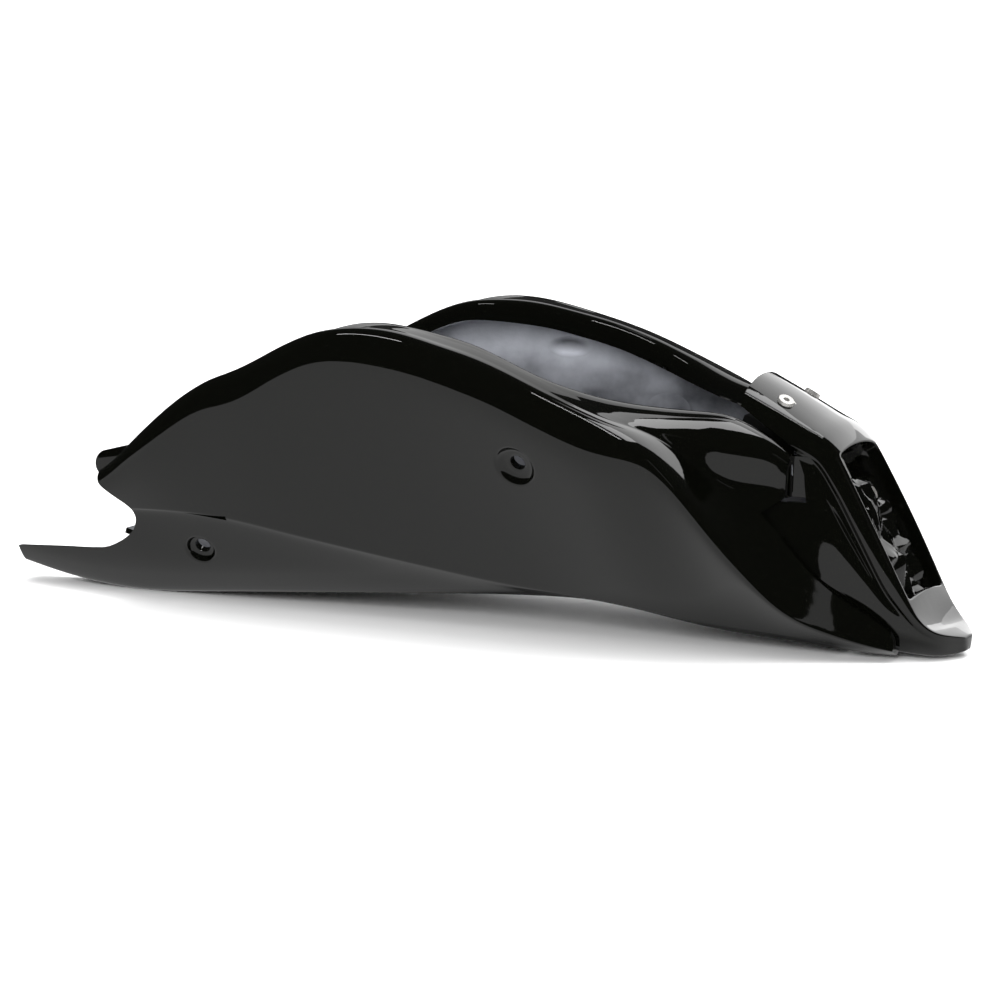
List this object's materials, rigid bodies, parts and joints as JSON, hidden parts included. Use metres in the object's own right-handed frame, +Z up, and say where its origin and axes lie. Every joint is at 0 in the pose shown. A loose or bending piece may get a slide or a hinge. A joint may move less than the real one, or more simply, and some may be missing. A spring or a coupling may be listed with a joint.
{
  "type": "motorcycle belly pan",
  "caption": "Trough-shaped gloss black belly pan for under a motorcycle engine, with flared sides, inturned flanges, a notched tail and a screwed-on nose cover with an intake recess.",
  "frame": {"origin": "middle of the length and width, on the surface the pan rests on", "axes": "+X forward to the nose, +Y to the left side, +Z up"},
  "size_m": [0.48, 0.2358, 0.1474],
  "materials": {
    "gel_coat": "gloss black gel coat on glass-fibre laminate",
    "steel": "plain stainless"
  },
  "bodies": {
    "root": {"pan": "gel_coat", "nose_cover": "gel_coat", "bridge_screws": "steel", "bridge_nuts": "steel", "duct_screws": "steel", "duct_nuts": "steel"}
  },
  "joints": []
}
